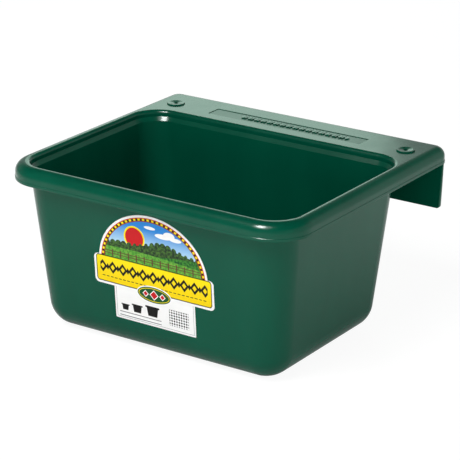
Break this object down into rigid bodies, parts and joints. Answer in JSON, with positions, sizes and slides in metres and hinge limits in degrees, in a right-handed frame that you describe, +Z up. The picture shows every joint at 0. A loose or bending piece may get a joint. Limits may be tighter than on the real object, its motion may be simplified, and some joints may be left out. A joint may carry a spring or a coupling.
{
  "type": "livestock feeder",
  "caption": "Open plastic feed tub with a rolled rim, a flat screw deck and a hook lip that hangs over a fence board, with printed labels on its front.",
  "frame": {"origin": "on the surface that the feeder stands on, under the middle of its overall width and depth", "axes": "+X to the right seen from the front, +Y to the back where the hook lip is, +Z up"},
  "size_m": [0.285, 0.2528, 0.1461],
  "materials": {
    "body_plastic": "dark green moulded polyethylene, satin gloss, faintly mottled",
    "size_label_film": "white printed film with plain grey and black rules",
    "picture_label_film": null
  },
  "bodies": {
    "root": {"feeder_body": "body_plastic", "size_label": "size_label_film", "picture_label": "picture_label_film"}
  },
  "joints": []
}
